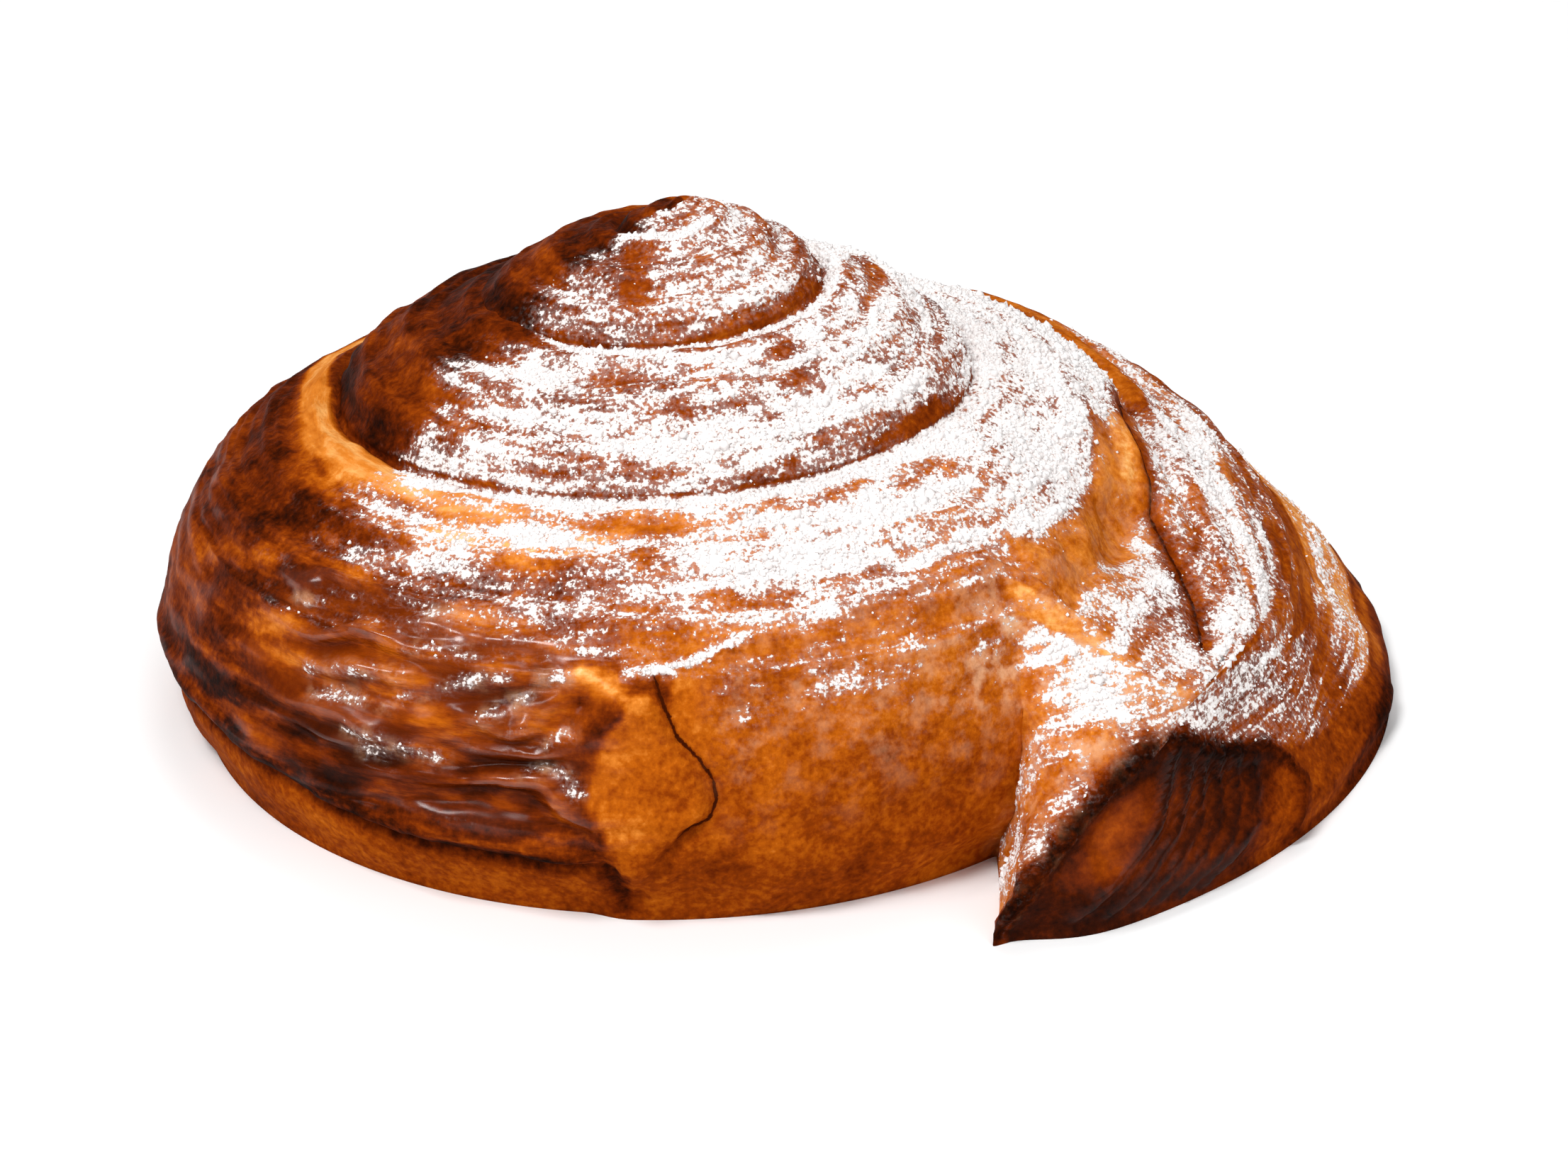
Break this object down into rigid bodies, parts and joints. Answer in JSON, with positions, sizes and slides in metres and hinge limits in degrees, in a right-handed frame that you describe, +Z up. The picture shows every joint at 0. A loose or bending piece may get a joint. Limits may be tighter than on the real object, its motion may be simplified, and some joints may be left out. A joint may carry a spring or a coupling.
{
  "type": "cinnamon roll",
  "caption": "Baked spiral roll of laminated dough: a raised eye, a rounded strip that winds down a low cone, and a pointed tail lying against the body. Flat underside.",
  "frame": {"origin": "middle of the roll's box, on the flat underside", "axes": "+Z up from the underside to the eye; +X along the longest side, towards the flank that the tail lies on; -Y towards the front, where the strip's free end points"},
  "size_m": [0.1239, 0.1064, 0.0515],
  "materials": {
    "crust": "baked crust, glossy where glazed, browned to nearly black at the lips",
    "sugar": "fine white sugar grains"
  },
  "bodies": {
    "root": {"roll": "crust"}
  },
  "joints": []
}
